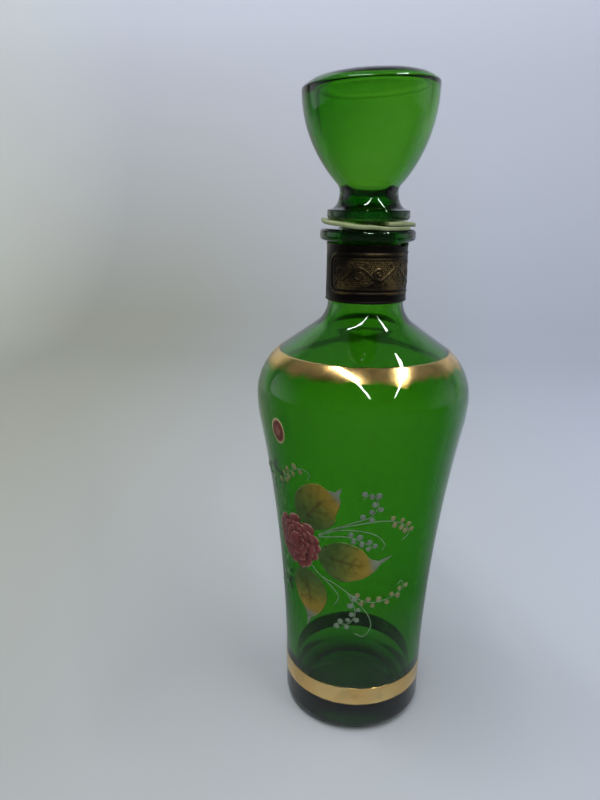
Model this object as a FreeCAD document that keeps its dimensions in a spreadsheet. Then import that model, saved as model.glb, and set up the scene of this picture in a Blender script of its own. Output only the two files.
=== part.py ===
import FreeCAD, Part
import math
import os

import Sketcher
from FreeCAD import Vector

# Green glass decanter: a revolved bottle with a hollow stopper, a split seal ring, a ribbed sleeve on the
# stopper's shank, a metal neck band, two gilt bands, a floral transfer and an oval label.
# Millimetres. Z runs up the bottle's axis from the table, and -Y is the front.

doc = FreeCAD.newDocument("decanter")
sheet = doc.addObject("Spreadsheet::Sheet", "Sizes")

DIMENSIONS = {
    # bottle, outside
    "foot_radius": 34.4,
    "foot_height": 14.0,
    "heel_round": 6.0,
    "bearing_width": 4.0,
    "punt_depth": 4.0,
    "shoulder_radius": 49.0,
    "shoulder_height": 164.0,
    "lower_shoulder_round": 60.0,
    "upper_shoulder_round": 26.0,
    "slope_angle": 35.5,
    "neck_fillet": 13.0,
    "neck_radius": 16.9,
    "neck_length": 31.2,
    "lip_radius": 21.0,
    "lip_thickness": 5.0,
    "lip_round": 1.5,
    # bottle, inside
    "glass_wall": 5.0,
    "base_thickness": 10.0,
    "inner_heel_round": 9.0,
    "mouth_bore": 12.6,
    "mouth_round": 1.2,
    # stopper, outside
    "shank_radius": 10.1,
    "shank_length": 30.0,
    "shank_round": 1.5,
    "flange_radius": 18.1,
    "flange_thickness": 4.3,
    "flange_round": 1.4,
    "stem_radius": 12.8,
    "stem_foot_round": 4.5,
    "stem_length": 6.9,
    "head_foot_round": 5.5,
    "head_radius": 28.9,
    "head_length": 41.6,
    "rim_round": 4.4,
    "crown_rise": 0.8,
    # stopper, inside
    "head_wall": 4.5,
    "ceiling_thickness": 4.6,
    "cavity_round": 3.0,
    "cavity_foot_round": 4.0,
    "blow_hole_radius": 5.0,
    # sleeve on the shank
    "sleeve_wall": 1.0,
    "sleeve_length": 26.0,
    "turn_clearance": 0.3,
    "grip_clearance": 0.3,
    "rib_pitch": 7.0,
    "first_rib": 5.0,
    # split seal ring
    "ring_radius": 20.6,
    "ring_clearance": 0.4,
    "ring_thickness": 1.6,
    "ring_lap_gap": 0.3,
    "ring_turns": 1.05,
    "ring_float": 0.1,
    "ring_end_turn": -47.0,
    # neck band
    "band_clearance": 0.1,
    "band_thickness": 0.6,
    "band_foot_gap": 0.4,
    "band_top_gap": 0.8,
    "band_bead": 0.5,
    "band_seam": 0.8,
    # fired decoration and label, turned to the left of the front
    "layer": 0.2,
    "layer_gap": 0.3,
    "foot_band_offset": 2.2,
    "foot_band_width": 9.2,
    "shoulder_band_inset": 0.8,
    "shoulder_band_width": 10.0,
    "rose_heart_radius": 10.0,
    "petal_radius": 5.4,
    "petal_reach": 8.6,
    "rose_height": 100.6,
    "rose_turn": 42.0,
    "leaf_length": 32.0,
    "leaf_width": 16.0,
    "leaf_gap": 0.5,
    "upper_leaf_height": 121.0,
    "upper_leaf_turn": 19.0,
    "upper_leaf_tilt": 56.0,
    "side_leaf_height": 97.5,
    "side_leaf_turn": -1.0,
    "side_leaf_tilt": 0.0,
    "lower_leaf_height": 74.0,
    "lower_leaf_turn": 35.0,
    "lower_leaf_tilt": -82.0,
    "label_width": 9.0,
    "label_length": 12.0,
    "label_drop": 10.5,
    "label_turn": 48.0,
}

for row, (alias, value) in enumerate(DIMENSIONS.items(), start=1):
    sheet.set("A%d" % row, alias)
    sheet.set("B%d" % row, str(value))
    sheet.setAlias("B%d" % row, alias)
doc.recompute()


# heights and radii that several pieces share, worked out from the sheet
OGEE = "((Sizes.shoulder_radius - Sizes.foot_radius)^2 + (Sizes.shoulder_height - Sizes.foot_height)^2)" \
       " / (2 * (Sizes.shoulder_radius - Sizes.foot_radius))"
SLOPE_START = "(Sizes.shoulder_radius - Sizes.upper_shoulder_round * (1 - sin(Sizes.slope_angle)))"
NECK_START = "(Sizes.shoulder_height + Sizes.upper_shoulder_round * cos(Sizes.slope_angle)" \
             " + (%s - Sizes.neck_radius) * tan(Sizes.slope_angle)" \
             " + Sizes.neck_fillet * tan((90 - Sizes.slope_angle) / 2))" % SLOPE_START
MOUTH = "(%s + Sizes.neck_length)" % NECK_START
STACK = "(2 * Sizes.ring_float + Sizes.ring_thickness" \
        " + (Sizes.ring_thickness + Sizes.ring_lap_gap) * Sizes.ring_turns)"
SEAT = "(%s + %s)" % (MOUTH, STACK)
FLANGE_TOP = "(%s + Sizes.flange_thickness)" % SEAT
STEM_TOP = "(%s + Sizes.stem_length)" % FLANGE_TOP
RIM = "(%s + Sizes.head_length)" % STEM_TOP
TOP = "(%s + Sizes.rim_round + Sizes.crown_rise)" % RIM
SLEEVE_BORE = "(Sizes.shank_radius + Sizes.turn_clearance)"
SLEEVE_RADIUS = "(%s + Sizes.sleeve_wall)" % SLEEVE_BORE
BAND_BORE = "(Sizes.neck_radius + Sizes.band_clearance)"
BAND_FACE = "(%s + Sizes.band_thickness)" % BAND_BORE
BAND_FOOT = "(%s + Sizes.band_foot_gap)" % NECK_START
BAND_TOP = "(%s - Sizes.lip_thickness - Sizes.band_top_gap)" % MOUTH


def size(alias):
    return float(sheet.get(alias))


class Outline:
    # A closed chain of lines and arcs in one sketch, drawn point by point at its real place.

    def __init__(self, sketch):
        self.sketch = sketch
        self.chain = []

    def line(self, start, end, smooth=False):
        edge = Part.LineSegment(Vector(start[0], start[1], 0), Vector(end[0], end[1], 0))
        return self.add(edge, 1, 2, smooth)

    def arc(self, centre, start, end, left=True, smooth=True):
        radius = math.dist(centre, start)
        circle = Part.Circle(Vector(centre[0], centre[1], 0), Vector(0, 0, 1), radius)
        first = math.atan2(start[1] - centre[1], start[0] - centre[0])
        last = math.atan2(end[1] - centre[1], end[0] - centre[0])
        if left:
            return self.add(Part.ArcOfCircle(circle, first, last), 1, 2, smooth)
        return self.add(Part.ArcOfCircle(circle, last, first), 2, 1, smooth)

    def add(self, edge, first, last, smooth):
        index = self.sketch.addGeometry(edge, False)
        segment = (index, first, last)
        if self.chain:
            self.join(self.chain[-1], segment, smooth)
        self.chain.append(segment)
        return segment

    def join(self, one, other, smooth=False):
        kind = "Tangent" if smooth else "Coincident"
        self.sketch.addConstraint(Sketcher.Constraint(kind, one[0], one[2], other[0], other[1]))

    def close(self, smooth=False):
        self.join(self.chain[-1], self.chain[0], smooth)

    def level(self, *segments):
        for segment in segments:
            self.sketch.addConstraint(Sketcher.Constraint("Horizontal", segment[0]))

    def upright(self, *segments):
        for segment in segments:
            self.sketch.addConstraint(Sketcher.Constraint("Vertical", segment[0]))

    def on_axis(self, segment, point):
        self.sketch.addConstraint(Sketcher.Constraint("PointOnObject", segment[0], point, -2))

    def bind(self, constraint, expression):
        index = self.sketch.addConstraint(constraint)
        self.sketch.setExpression("Constraints[%d]" % index, expression)

    def across(self, segment, point, expression):
        at = self.sketch.getPoint(segment[0], point)
        self.bind(Sketcher.Constraint("DistanceX", -1, 1, segment[0], point, at.x), expression)

    def up(self, segment, point, expression):
        at = self.sketch.getPoint(segment[0], point)
        self.bind(Sketcher.Constraint("DistanceY", -1, 1, segment[0], point, at.y), expression)

    def radius(self, segment, expression):
        now = self.sketch.Geometry[segment[0]].Radius
        self.bind(Sketcher.Constraint("Radius", segment[0], now), expression)

    def slope(self, segment, expression):
        # the line climbs towards the axis at this angle from the level
        now = math.radians(180 - size("slope_angle"))
        self.bind(Sketcher.Constraint("Angle", segment[0], now), expression)

    def square_to_axis(self, segment, point):
        # the arc's end stands level with its centre, so the outline runs straight up there
        self.sketch.addConstraint(Sketcher.Constraint("Horizontal", segment[0], 3, segment[0], point))


def new_body(label):
    body = doc.addObject("PartDesign::Body", label)
    body.Label = label
    return body


def new_sketch(body, plane, name):
    sketch = body.newObject("Sketcher::SketchObject", name)
    planes = {feature.Role: feature for feature in body.Origin.OriginFeatures}
    sketch.AttachmentSupport = (planes[plane], [""])
    sketch.MapMode = "FlatFace"
    return sketch


def revolve(body, sketch, kind, name):
    feature = body.newObject("PartDesign::" + kind, name)
    feature.Profile = sketch
    feature.ReferenceAxis = (sketch, ["V_Axis"])
    feature.Angle = 360
    doc.recompute()
    return feature


def ogee(start, end, start_round=None, end_round=None):
    # Two arcs that leave start straight up, bend outwards, and arrive at end straight up.
    # One round is given and the other follows. Returns both centres and the point where they meet.
    out = end[0] - start[0]
    rise = end[1] - start[1]
    both = (out**2 + rise**2) / (2 * out)
    first = start_round if start_round else both - end_round
    last = both - first
    low = (start[0] + first, start[1])
    high = (end[0] - last, end[1])
    share = first / both
    meet = (low[0] + share * (high[0] - low[0]), low[1] + share * (high[1] - low[1]))
    return low, high, meet


def neck_foot(shoulder, shoulder_round, neck_radius, fillet):
    # Where the slope leaves the shoulder's arc, where it meets the neck's fillet, and the fillet's top.
    angle = math.radians(size("slope_angle"))
    out = shoulder[0] - shoulder_round * (1 - math.sin(angle))
    leave = (out, shoulder[1] + shoulder_round * math.cos(angle))
    corner = leave[1] + (out - neck_radius) * math.tan(angle)
    reach = fillet * math.tan((math.pi / 2 - angle) / 2)
    meet = (neck_radius + reach * math.cos(angle), corner - reach * math.sin(angle))
    return leave, meet, corner + reach


def neck_start():
    shoulder = (size("shoulder_radius"), size("shoulder_height"))
    return neck_foot(shoulder, size("upper_shoulder_round"), size("neck_radius"), size("neck_fillet"))[2]


def mouth_height():
    return neck_start() + size("neck_length")


def bottle_side(outline, foot, shoulder, neck_radius, rounds, expressions):
    # Flared side, shoulder and neck fillet: four arcs and the straight slope between shoulder and neck.
    low, high, meet = ogee(foot, shoulder, end_round=rounds["lower"])
    top = (shoulder[0] - rounds["upper"], shoulder[1])
    leave, arrive, start = neck_foot(shoulder, rounds["upper"], neck_radius, rounds["neck"])
    outline.arc(low, foot, meet, left=False)
    lower = outline.arc(high, meet, shoulder)
    upper = outline.arc(top, shoulder, leave)
    slope = outline.line(leave, arrive, smooth=True)
    fillet = outline.arc((neck_radius + rounds["neck"], start), arrive, (neck_radius, start), left=False)
    outline.slope(slope, "180 - Sizes.slope_angle")
    outline.square_to_axis(lower, lower[2])
    outline.across(lower, lower[2], expressions["shoulder_radius"])
    outline.up(lower, lower[2], "Sizes.shoulder_height")
    outline.radius(lower, expressions["lower"])
    outline.radius(upper, expressions["upper"])
    outline.radius(fillet, expressions["neck"])
    return start


def make_bottle():
    body = new_body("bottle_glass")
    foot = size("foot_radius")
    heel = size("heel_round")
    bearing = foot - heel - size("bearing_width")
    neck = size("neck_radius")
    lip = size("lip_radius")
    edge = size("lip_round")
    top = mouth_height()
    under = top - size("lip_thickness")
    punt = size("punt_depth")
    punt_centre = (0, (punt**2 - bearing**2) / (2 * punt))

    sketch = new_sketch(body, "XZ_Plane", "bottle_outside")
    outline = Outline(sketch)
    punt_arc = outline.arc(punt_centre, (0, punt), (bearing, 0), left=False)
    ring = outline.line((bearing, 0), (foot - heel, 0))
    heel_arc = outline.arc((foot - heel, heel), (foot - heel, 0), (foot, heel))
    side = outline.line((foot, heel), (foot, size("foot_height")), smooth=True)
    start = bottle_side(
        outline,
        (foot, size("foot_height")),
        (size("shoulder_radius"), size("shoulder_height")),
        neck,
        {"lower": size("lower_shoulder_round"), "upper": size("upper_shoulder_round"),
         "neck": size("neck_fillet")},
        {"shoulder_radius": "Sizes.shoulder_radius", "lower": "Sizes.lower_shoulder_round",
         "upper": "Sizes.upper_shoulder_round", "neck": "Sizes.neck_fillet"},
    )
    neck_line = outline.line((neck, start), (neck, under), smooth=True)
    lip_under = outline.line((neck, under), (lip - edge, under))
    lip_low = outline.arc((lip - edge, under + edge), (lip - edge, under), (lip, under + edge))
    lip_side = outline.line((lip, under + edge), (lip, top - edge), smooth=True)
    lip_high = outline.arc((lip - edge, top - edge), (lip, top - edge), (lip - edge, top))
    mouth = outline.line((lip - edge, top), (0, top), smooth=True)
    axis = outline.line((0, top), (0, punt))
    outline.close()

    outline.on_axis(axis, 1)
    outline.on_axis(axis, 2)
    outline.on_axis(punt_arc, 3)
    outline.level(ring, lip_under, mouth)
    outline.upright(side, neck_line, lip_side)
    outline.up(axis, 2, "Sizes.punt_depth")
    outline.sketch.addConstraint(Sketcher.Constraint("PointOnObject", ring[0], 1, -1))
    outline.across(ring, 1, "Sizes.foot_radius - Sizes.heel_round - Sizes.bearing_width")
    outline.radius(heel_arc, "Sizes.heel_round")
    outline.across(side, 2, "Sizes.foot_radius")
    outline.up(side, 2, "Sizes.foot_height")
    outline.across(neck_line, 1, "Sizes.neck_radius")
    outline.up(neck_line, 2, "%s - Sizes.lip_thickness" % MOUTH)
    outline.radius(lip_low, "Sizes.lip_round")
    outline.radius(lip_high, "Sizes.lip_round")
    outline.across(lip_side, 1, "Sizes.lip_radius")
    outline.up(mouth, 2, MOUTH)
    revolve(body, sketch, "Revolution", "bottle_solid")
    hollow_bottle(body)
    return body


def hollow_bottle(body):
    wall = size("glass_wall")
    floor = size("base_thickness")
    heel = size("inner_heel_round")
    foot = size("foot_radius") - wall
    bore = size("mouth_bore")
    neck_wall = size("neck_radius") - bore
    lead = size("mouth_round")
    top = mouth_height()

    sketch = new_sketch(body, "XZ_Plane", "bottle_inside")
    outline = Outline(sketch)
    floor_line = outline.line((0, floor), (foot - heel, floor))
    heel_arc = outline.arc((foot - heel, floor + heel), (foot - heel, floor), (foot, floor + heel))
    start = bottle_side(
        outline,
        (foot, floor + heel),
        (size("shoulder_radius") - wall, size("shoulder_height")),
        bore,
        {"lower": size("lower_shoulder_round") - wall, "upper": size("upper_shoulder_round") - wall,
         "neck": size("neck_fillet") + neck_wall},
        {"shoulder_radius": "Sizes.shoulder_radius - Sizes.glass_wall",
         "lower": "Sizes.lower_shoulder_round - Sizes.glass_wall",
         "upper": "Sizes.upper_shoulder_round - Sizes.glass_wall",
         "neck": "Sizes.neck_fillet + Sizes.neck_radius - Sizes.mouth_bore"},
    )
    bore_line = outline.line((bore, start), (bore, top - lead), smooth=True)
    mouth_arc = outline.arc((bore + lead, top - lead), (bore, top - lead), (bore + lead, top), left=False)
    out = outline.line((bore + lead, top), (0, top), smooth=False)
    axis = outline.line((0, top), (0, floor))
    outline.close()

    outline.on_axis(axis, 1)
    outline.on_axis(axis, 2)
    outline.level(floor_line, out)
    outline.upright(bore_line)
    outline.up(floor_line, 1, "Sizes.base_thickness")
    outline.radius(heel_arc, "Sizes.inner_heel_round")
    outline.square_to_axis(heel_arc, heel_arc[2])
    outline.across(heel_arc, heel_arc[2], "Sizes.foot_radius - Sizes.glass_wall")
    outline.across(bore_line, 1, "Sizes.mouth_bore")
    outline.radius(mouth_arc, "Sizes.mouth_round")
    outline.up(out, 2, MOUTH)
    outline.across(mouth_arc, mouth_arc[2], "Sizes.mouth_bore + Sizes.mouth_round")
    revolve(body, sketch, "Groove", "bottle_hollow")


def ring_pitch():
    return size("ring_thickness") + size("ring_lap_gap")


def seat_height():
    # underside of the stopper's flange, resting on the sprung ring
    stack = 2 * size("ring_float") + size("ring_thickness") + ring_pitch() * size("ring_turns")
    return mouth_height() + stack


def make_stopper():
    body = new_body("stopper_glass")
    seat = seat_height()
    bottom = seat - size("shank_length")
    shank = size("shank_radius")
    tip = size("shank_round")
    flange = size("flange_radius")
    edge = size("flange_round")
    flange_top = seat + size("flange_thickness")
    stem = size("stem_radius")
    foot = size("stem_foot_round")
    stem_top = flange_top + size("stem_length")
    head = size("head_radius")
    rim = stem_top + size("head_length")
    turn = size("rim_round")
    top = rim + turn + size("crown_rise")
    low, high, meet = ogee((stem, stem_top), (head, rim), start_round=size("head_foot_round"))
    inner = head - turn
    crown = (inner**2 + (top - rim)**2 - turn**2) / (2 * size("crown_rise"))
    crown_centre = (0, top - crown)
    share = crown / (crown - turn)
    brim = (share * inner, crown_centre[1] + share * (rim - crown_centre[1]))

    sketch = new_sketch(body, "XZ_Plane", "stopper_outside")
    outline = Outline(sketch)
    end = outline.line((0, bottom), (shank - tip, bottom))
    tip_arc = outline.arc((shank - tip, bottom + tip), (shank - tip, bottom), (shank, bottom + tip))
    shank_line = outline.line((shank, bottom + tip), (shank, seat), smooth=True)
    under = outline.line((shank, seat), (flange - edge, seat))
    flange_low = outline.arc((flange - edge, seat + edge), (flange - edge, seat), (flange, seat + edge))
    flange_side = outline.line((flange, seat + edge), (flange, flange_top - edge), smooth=True)
    flange_high = outline.arc((flange - edge, flange_top - edge), (flange, flange_top - edge),
                              (flange - edge, flange_top))
    over = outline.line((flange - edge, flange_top), (stem + foot, flange_top), smooth=True)
    foot_arc = outline.arc((stem + foot, flange_top + foot), (stem + foot, flange_top),
                           (stem, flange_top + foot), left=False, smooth=False)
    stem_line = outline.line((stem, flange_top + foot), (stem, stem_top), smooth=True)
    head_foot = outline.arc(low, (stem, stem_top), meet, left=False)
    head_side = outline.arc(high, meet, (head, rim))
    rim_arc = outline.arc((inner, rim), (head, rim), brim)
    crown_arc = outline.arc(crown_centre, brim, (0, top))
    axis = outline.line((0, top), (0, bottom))
    outline.close()

    outline.on_axis(axis, 1)
    outline.on_axis(axis, 2)
    outline.on_axis(crown_arc, 3)
    outline.level(end, under, over)
    outline.upright(shank_line, flange_side, stem_line)
    outline.square_to_axis(head_side, head_side[2])
    outline.up(end, 1, "%s - Sizes.shank_length" % SEAT)
    outline.radius(tip_arc, "Sizes.shank_round")
    outline.across(shank_line, 2, "Sizes.shank_radius")
    outline.up(shank_line, 2, SEAT)
    outline.radius(flange_low, "Sizes.flange_round")
    outline.radius(flange_high, "Sizes.flange_round")
    outline.across(flange_side, 1, "Sizes.flange_radius")
    outline.up(over, 2, FLANGE_TOP)
    outline.radius(foot_arc, "Sizes.stem_foot_round")
    outline.across(over, 2, "Sizes.stem_radius + Sizes.stem_foot_round")
    outline.across(stem_line, 2, "Sizes.stem_radius")
    outline.up(stem_line, 2, STEM_TOP)
    outline.radius(head_foot, "Sizes.head_foot_round")
    outline.across(head_side, head_side[2], "Sizes.head_radius")
    outline.up(head_side, head_side[2], RIM)
    outline.radius(rim_arc, "Sizes.rim_round")
    outline.up(axis, 1, TOP)
    revolve(body, sketch, "Revolution", "stopper_solid")
    hollow_stopper(body, bottom, stem_top, top)
    return body


def hollow_stopper(body, bottom, stem_top, top):
    hole = size("blow_hole_radius")
    wide = size("head_radius") - size("head_wall")
    ceiling = top - size("ceiling_thickness")
    turn = size("cavity_round")
    widest = ceiling - turn
    low, high, meet = ogee((hole, stem_top), (wide, widest), start_round=size("cavity_foot_round"))

    sketch = new_sketch(body, "XZ_Plane", "stopper_inside")
    outline = Outline(sketch)
    mouth = outline.line((0, bottom), (hole, bottom))
    hole_line = outline.line((hole, bottom), (hole, stem_top))
    foot_arc = outline.arc(low, (hole, stem_top), meet, left=False)
    side = outline.arc(high, meet, (wide, widest))
    turn_arc = outline.arc((wide - turn, widest), (wide, widest), (wide - turn, ceiling))
    ceiling_line = outline.line((wide - turn, ceiling), (0, ceiling), smooth=True)
    axis = outline.line((0, ceiling), (0, bottom))
    outline.close()

    outline.on_axis(axis, 1)
    outline.on_axis(axis, 2)
    outline.level(mouth, ceiling_line)
    outline.upright(hole_line)
    outline.square_to_axis(side, side[2])
    outline.up(mouth, 1, "%s - Sizes.shank_length" % SEAT)
    outline.across(hole_line, 2, "Sizes.blow_hole_radius")
    outline.up(hole_line, 2, STEM_TOP)
    outline.radius(foot_arc, "Sizes.cavity_foot_round")
    outline.across(side, side[2], "Sizes.head_radius - Sizes.head_wall")
    outline.radius(turn_arc, "Sizes.cavity_round")
    outline.up(ceiling_line, 2, "%s - Sizes.ceiling_thickness" % TOP)
    revolve(body, sketch, "Groove", "stopper_hollow")


def make_sleeve():
    body = new_body("stopper_sleeve")
    bore = size("shank_radius") + size("turn_clearance")
    radius = bore + size("sleeve_wall")
    top = seat_height() - size("ring_float")
    bottom = top - size("sleeve_length")
    sketch = new_sketch(body, "XZ_Plane", "sleeve_wall_outline")
    outline = Outline(sketch)
    low = outline.line((bore, bottom), (radius, bottom))
    outside = outline.line((radius, bottom), (radius, top))
    high = outline.line((radius, top), (bore, top))
    inside = outline.line((bore, top), (bore, bottom))
    outline.close()
    outline.level(low, high)
    outline.upright(outside, inside)
    outline.across(inside, 1, SLEEVE_BORE)
    outline.across(outside, 1, SLEEVE_RADIUS)
    outline.up(inside, 1, "%s - Sizes.ring_float" % SEAT)
    outline.up(inside, 2, "%s - Sizes.ring_float - Sizes.sleeve_length" % SEAT)
    revolve(body, sketch, "Revolution", "sleeve_tube")

    crest = size("mouth_bore") - size("grip_clearance")
    height = crest - radius
    middle = bottom + size("first_rib")
    deep = radius - size("sleeve_wall") / 2
    sketch = new_sketch(body, "XZ_Plane", "sleeve_rib_outline")
    outline = Outline(sketch)
    low = outline.line((deep, middle - height), (radius, middle - height))
    rib_arc = outline.arc((radius, middle), (radius, middle - height), (radius, middle + height),
                          smooth=False)
    high = outline.line((radius, middle + height), (deep, middle + height))
    inside = outline.line((deep, middle + height), (deep, middle - height))
    outline.close()
    outline.level(low, high)
    outline.upright(inside)
    outline.across(inside, 1, "%s - Sizes.sleeve_wall / 2" % SLEEVE_RADIUS)
    outline.across(rib_arc, 3, SLEEVE_RADIUS)
    outline.up(rib_arc, 3, "%s - Sizes.ring_float - Sizes.sleeve_length + Sizes.first_rib" % SEAT)
    outline.radius(rib_arc, "Sizes.mouth_bore - Sizes.grip_clearance - %s" % SLEEVE_RADIUS)
    outline.across(rib_arc, 1, SLEEVE_RADIUS)
    rib = revolve(body, sketch, "Revolution", "sleeve_rib")
    ribs = body.newObject("PartDesign::LinearPattern", "sleeve_ribs")
    ribs.Originals = [rib]
    ribs.Direction = (sketch, ["V_Axis"])
    ribs.Occurrences = 3
    ribs.setExpression("Length", "2 * Sizes.rib_pitch")
    body.Tip = ribs
    doc.recompute()
    return body


def make_seal_ring():
    body = new_body("seal_ring")
    inner = size("shank_radius") + size("turn_clearance") + size("sleeve_wall") + size("ring_clearance")
    outer = size("ring_radius")
    bottom = mouth_height() + size("ring_float")
    top = bottom + size("ring_thickness")
    sketch = new_sketch(body, "XZ_Plane", "ring_section")
    outline = Outline(sketch)
    low = outline.line((inner, bottom), (outer, bottom))
    outside = outline.line((outer, bottom), (outer, top))
    high = outline.line((outer, top), (inner, top))
    inside = outline.line((inner, top), (inner, bottom))
    outline.close()
    outline.level(low, high)
    outline.upright(outside, inside)
    outline.across(inside, 1, "%s + Sizes.ring_clearance" % SLEEVE_RADIUS)
    outline.across(outside, 1, "Sizes.ring_radius")
    outline.up(low, 1, "%s + Sizes.ring_float" % MOUTH)
    outline.up(high, 1, "%s + Sizes.ring_float + Sizes.ring_thickness" % MOUTH)
    doc.recompute()
    coil = body.newObject("PartDesign::AdditiveHelix", "ring_coil")
    coil.Profile = sketch
    coil.ReferenceAxis = (sketch, ["V_Axis"])
    coil.Mode = "pitch-turns-angle"
    coil.LeftHanded = True
    coil.setExpression("Pitch", "Sizes.ring_thickness + Sizes.ring_lap_gap")
    coil.setExpression("Turns", "Sizes.ring_turns")
    body.Placement.Rotation = FreeCAD.Rotation(Vector(0, 0, 1), size("ring_end_turn"))
    doc.recompute()
    return body


def make_neck_band():
    body = new_body("neck_band")
    inner = size("neck_radius") + size("band_clearance")
    outer = inner + size("band_thickness")
    bead = size("band_bead")
    bottom = neck_start() + size("band_foot_gap")
    top = mouth_height() - size("lip_thickness") - size("band_top_gap")
    sketch = new_sketch(body, "XZ_Plane", "band_section")
    outline = Outline(sketch)
    low = outline.line((inner, bottom), (outer, bottom))
    low_bead = outline.arc((outer, bottom + bead), (outer, bottom), (outer, bottom + 2 * bead),
                           smooth=False)
    face = outline.line((outer, bottom + 2 * bead), (outer, top - 2 * bead))
    high_bead = outline.arc((outer, top - bead), (outer, top - 2 * bead), (outer, top), smooth=False)
    high = outline.line((outer, top), (inner, top))
    back = outline.line((inner, top), (inner, bottom))
    outline.close()
    outline.level(low, high)
    outline.upright(face, back)
    outline.across(back, 1, BAND_BORE)
    outline.up(back, 2, BAND_FOOT)
    outline.up(back, 1, BAND_TOP)
    outline.across(face, 1, BAND_FACE)
    for arc in (low_bead, high_bead):
        outline.radius(arc, "Sizes.band_bead")
        outline.across(arc, 3, BAND_FACE)
    outline.across(low, 2, BAND_FACE)
    outline.across(high, 1, BAND_FACE)
    revolve(body, sketch, "Revolution", "band_tube")

    half = size("band_seam") / 2
    sketch = new_sketch(body, "XZ_Plane", "band_seam_outline")
    outline = Outline(sketch)
    low = outline.line((-half, bottom), (half, bottom))
    right = outline.line((half, bottom), (half, top))
    high = outline.line((half, top), (-half, top))
    left = outline.line((-half, top), (-half, bottom))
    outline.close()
    outline.level(low, high)
    outline.upright(right, left)
    outline.across(right, 1, "Sizes.band_seam / 2")
    outline.across(left, 1, "-Sizes.band_seam / 2")
    outline.up(low, 1, BAND_FOOT)
    outline.up(high, 1, BAND_TOP)
    whole = body.Shape.Volume
    seam = body.newObject("PartDesign::Pocket", "band_seam_cut")
    seam.Profile = sketch
    seam.Type = "ThroughAll"
    doc.recompute()
    print("neck band loses %.2f mm3 to its seam" % (whole - body.Shape.Volume))
    return body


def make_foot_gilt_band():
    body = new_body("foot_gilt_band")
    layer = size("layer")
    middle = ogee((size("foot_radius"), size("foot_height")),
                  (size("shoulder_radius"), size("shoulder_height")),
                  end_round=size("lower_shoulder_round"))[0]
    flare = middle[0] - size("foot_radius") - size("layer_gap")
    bottom = size("foot_height") + size("foot_band_offset")
    top = bottom + size("foot_band_width")
    radius = "(%s - Sizes.lower_shoulder_round)" % OGEE
    centre = "Sizes.foot_radius + %s" % radius
    face = "%s - Sizes.layer_gap" % radius

    def at(height, arc_radius):
        return middle[0] - math.sqrt(arc_radius**2 - (height - middle[1])**2), height

    sketch = new_sketch(body, "XZ_Plane", "foot_band_section")
    outline = Outline(sketch)
    low = outline.line(at(bottom, flare), at(bottom, flare - layer))
    outside = outline.arc(middle, at(bottom, flare - layer), at(top, flare - layer), left=False,
                          smooth=False)
    high = outline.line(at(top, flare - layer), at(top, flare))
    inside = outline.arc(middle, at(top, flare), at(bottom, flare), smooth=False)
    outline.close()
    gilt_section(outline, (low, outside, high, inside), centre, "Sizes.foot_height", face,
                 "%s - Sizes.layer" % face)
    outline.up(low, 1, "Sizes.foot_height + Sizes.foot_band_offset")
    outline.up(high, 1, "Sizes.foot_height + Sizes.foot_band_offset + Sizes.foot_band_width")
    revolve(body, sketch, "Revolution", "foot_band_layer")
    return body


def make_shoulder_gilt_band():
    body = new_body("shoulder_gilt_band")
    layer = size("layer")
    shoulder = size("upper_shoulder_round")
    turn = shoulder + size("layer_gap")
    middle = (size("shoulder_radius") - shoulder, size("shoulder_height"))
    high_angle = math.radians(90 - size("slope_angle")) - size("shoulder_band_inset") / shoulder
    low_angle = high_angle - size("shoulder_band_width") / shoulder
    bottom = middle[1] + shoulder * math.sin(low_angle)
    top = middle[1] + shoulder * math.sin(high_angle)
    high_up = "(90 - Sizes.slope_angle - Sizes.shoulder_band_inset / Sizes.upper_shoulder_round * 180 / pi)"
    low_up = "(%s - Sizes.shoulder_band_width / Sizes.upper_shoulder_round * 180 / pi)" % high_up
    height = "Sizes.shoulder_height + Sizes.upper_shoulder_round * sin(%s)"
    face = "Sizes.upper_shoulder_round + Sizes.layer_gap"

    def at(height, arc_radius):
        return middle[0] + math.sqrt(arc_radius**2 - (height - middle[1])**2), height

    sketch = new_sketch(body, "XZ_Plane", "shoulder_band_section")
    outline = Outline(sketch)
    low = outline.line(at(bottom, turn), at(bottom, turn + layer))
    outside = outline.arc(middle, at(bottom, turn + layer), at(top, turn + layer), smooth=False)
    high = outline.line(at(top, turn + layer), at(top, turn))
    inside = outline.arc(middle, at(top, turn), at(bottom, turn), left=False, smooth=False)
    outline.close()
    gilt_section(outline, (low, outside, high, inside),
                 "Sizes.shoulder_radius - Sizes.upper_shoulder_round", "Sizes.shoulder_height",
                 face, "%s + Sizes.layer" % face)
    outline.up(low, 1, height % low_up)
    outline.up(high, 1, height % high_up)
    revolve(body, sketch, "Revolution", "shoulder_band_layer")
    return body


def gilt_section(outline, segments, across, up, inner, outer):
    # two arcs about the centre of the glass's own arc, a layer apart
    low, outside, high, inside = segments
    outline.level(low, high)
    outline.sketch.addConstraint(Sketcher.Constraint("Coincident", outside[0], 3, inside[0], 3))
    outline.across(inside, 3, across)
    outline.up(inside, 3, up)
    outline.radius(inside, inner)
    outline.radius(outside, outer)


def arc_edge(centre, radius, first, last):
    points = []
    for angle in (first, (first + last) / 2, last):
        points.append(Vector(centre[0] + radius * math.cos(angle), 0, centre[1] + radius * math.sin(angle)))
    return Part.Arc(*points).toShape()


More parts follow.
